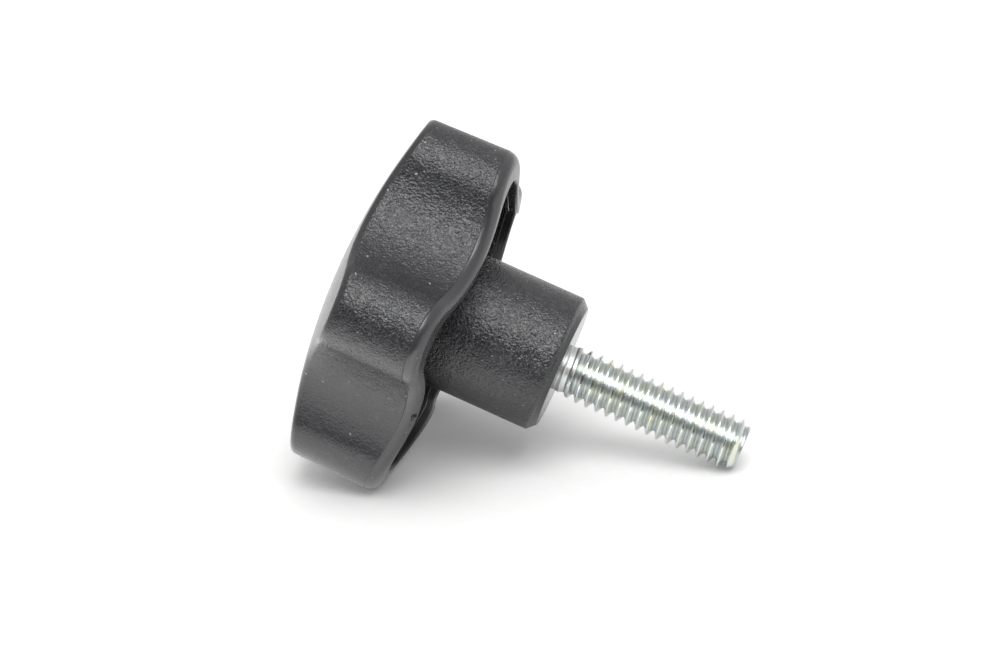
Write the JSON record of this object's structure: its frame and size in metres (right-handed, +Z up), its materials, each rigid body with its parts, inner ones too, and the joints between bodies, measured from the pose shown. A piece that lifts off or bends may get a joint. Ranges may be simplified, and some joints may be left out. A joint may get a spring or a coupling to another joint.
{
  "type": "thumb screw",
  "caption": "Hand-turned clamping screw: a lobed, hollow-backed plastic knob with a round hub, moulded on a threaded steel stud.",
  "frame": {"origin": "on the floor, under the middle of the resting screw's bounding box", "axes": "+X towards the tip of the stud, which also points down at 23.6 degrees; +Z up; the screw lies as it comes to rest, on two lobes and the tip"},
  "size_m": [0.0518, 0.0425, 0.0411],
  "materials": {
    "knob": "fine moulded grain, glass-filled nylon, near black",
    "stud": "bright zinc plate with a rolled thread"
  },
  "bodies": {
    "root": {"knob_body": "knob", "threaded_stud": "stud"}
  },
  "joints": []
}
